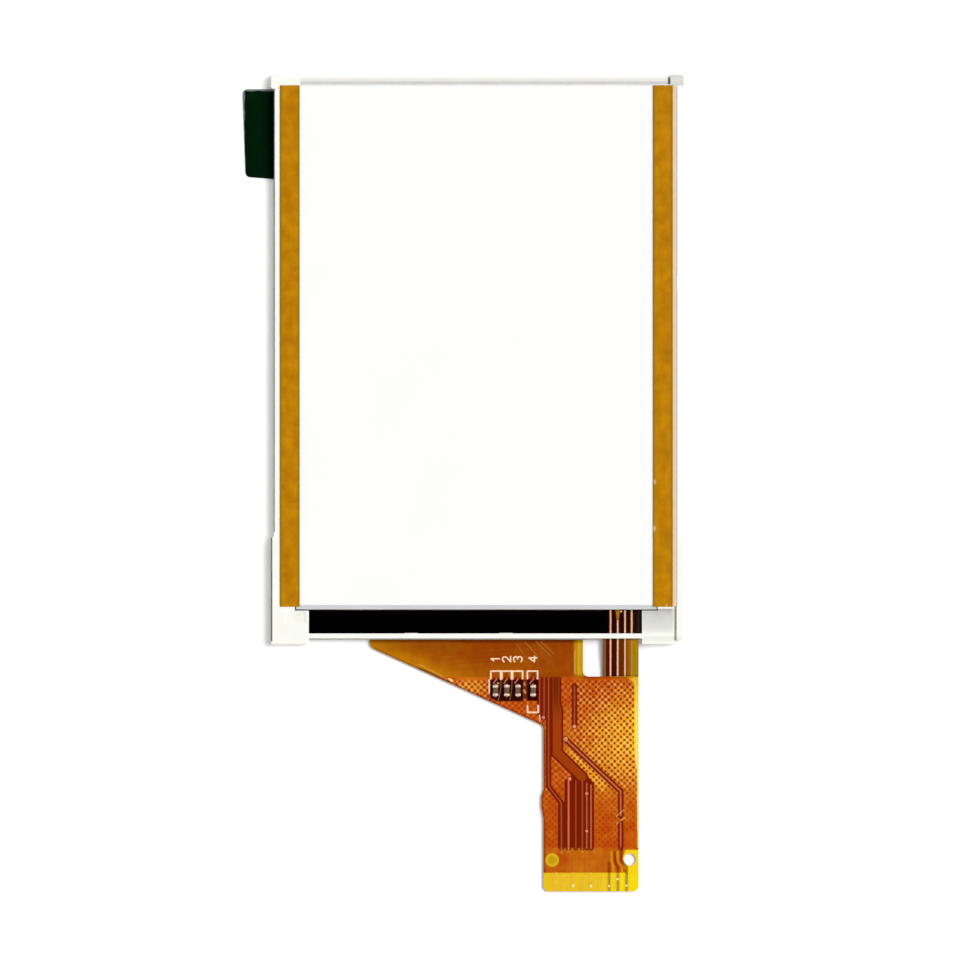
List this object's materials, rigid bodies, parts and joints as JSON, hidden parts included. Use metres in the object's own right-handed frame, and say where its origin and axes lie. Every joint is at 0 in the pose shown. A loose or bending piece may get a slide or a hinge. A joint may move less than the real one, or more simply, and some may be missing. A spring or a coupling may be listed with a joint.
{
  "type": "tft display module",
  "caption": "Small colour screen with backlight in a white moulded frame, seen from its back, with an amber flexible circuit tail and a green pull tab.",
  "frame": {"origin": "on the front face, which the module lies on, on the screen's centre line and half way along the moulded frame", "axes": "+X across the screen, to the right when the back is seen with the tail pointing down; +Y towards the top edge, away from the tail; +Z from the front face to the back"},
  "size_m": [0.0397, 0.0735, 0.0023],
  "materials": {
    "frame_plastic": "moulded white polycarbonate, faint warm tint",
    "guide_acrylic": "clear polished acrylic",
    "reflector_film": "bright white polyester film",
    "diffuser_film": "milky matt film",
    "prism_film": "clear film with fine prisms",
    "black_tape": "black light-proof film",
    "polarizer_film": "dark smooth film",
    "panel_glass": "thin polished display glass",
    "seal_resin": "cured grey resin",
    "clear_film": "clear protective film",
    "tab_film": "dark green tape",
    "chip_silicon": "lapped bare silicon",
    "flex_polyimide": "amber polyimide laminate",
    "flex_copper": "etched copper under amber cover film",
    "contact_plating": "thin gold over copper",
    "capacitor_ceramic": "fired ceramic with bright tinned ends",
    "lamp_resin": "white resin with a yellow lens",
    "strip_adhesive": "pale tacky adhesive",
    "liner_film": "amber release liner, faintly mottled"
  },
  "bodies": {
    "root": {"moulded_frame": "frame_plastic", "light_guide": "guide_acrylic", "reflector_sheet": "reflector_film", "diffuser_sheet": "diffuser_film", "prism_sheet_lower": "prism_film", "prism_sheet_upper": "prism_film", "rim_tape": "black_tape", "rear_polarizer": "polarizer_film", "array_glass": "panel_glass", "cell_seal": "seal_resin", "filter_glass": "panel_glass", "front_polarizer": "polarizer_film", "protective_film": "clear_film", "pull_tab": "tab_film", "driver_chip": "chip_silicon", "main_flex": "flex_polyimide", "copper_tracks": "flex_copper", "ground_net": "flex_copper", "contact_pads": "contact_plating", "capacitor_1": "capacitor_ceramic", "capacitor_2": "capacitor_ceramic", "capacitor_3": "capacitor_ceramic", "capacitor_4": "capacitor_ceramic", "lamp_1": "lamp_resin", "lamp_2": "lamp_resin", "lamp_3": "lamp_resin", "shield_tape": "black_tape", "adhesive_left": "strip_adhesive", "adhesive_right": "strip_adhesive", "liner_left": "liner_film", "liner_right": "liner_film"}
  },
  "joints": []
}
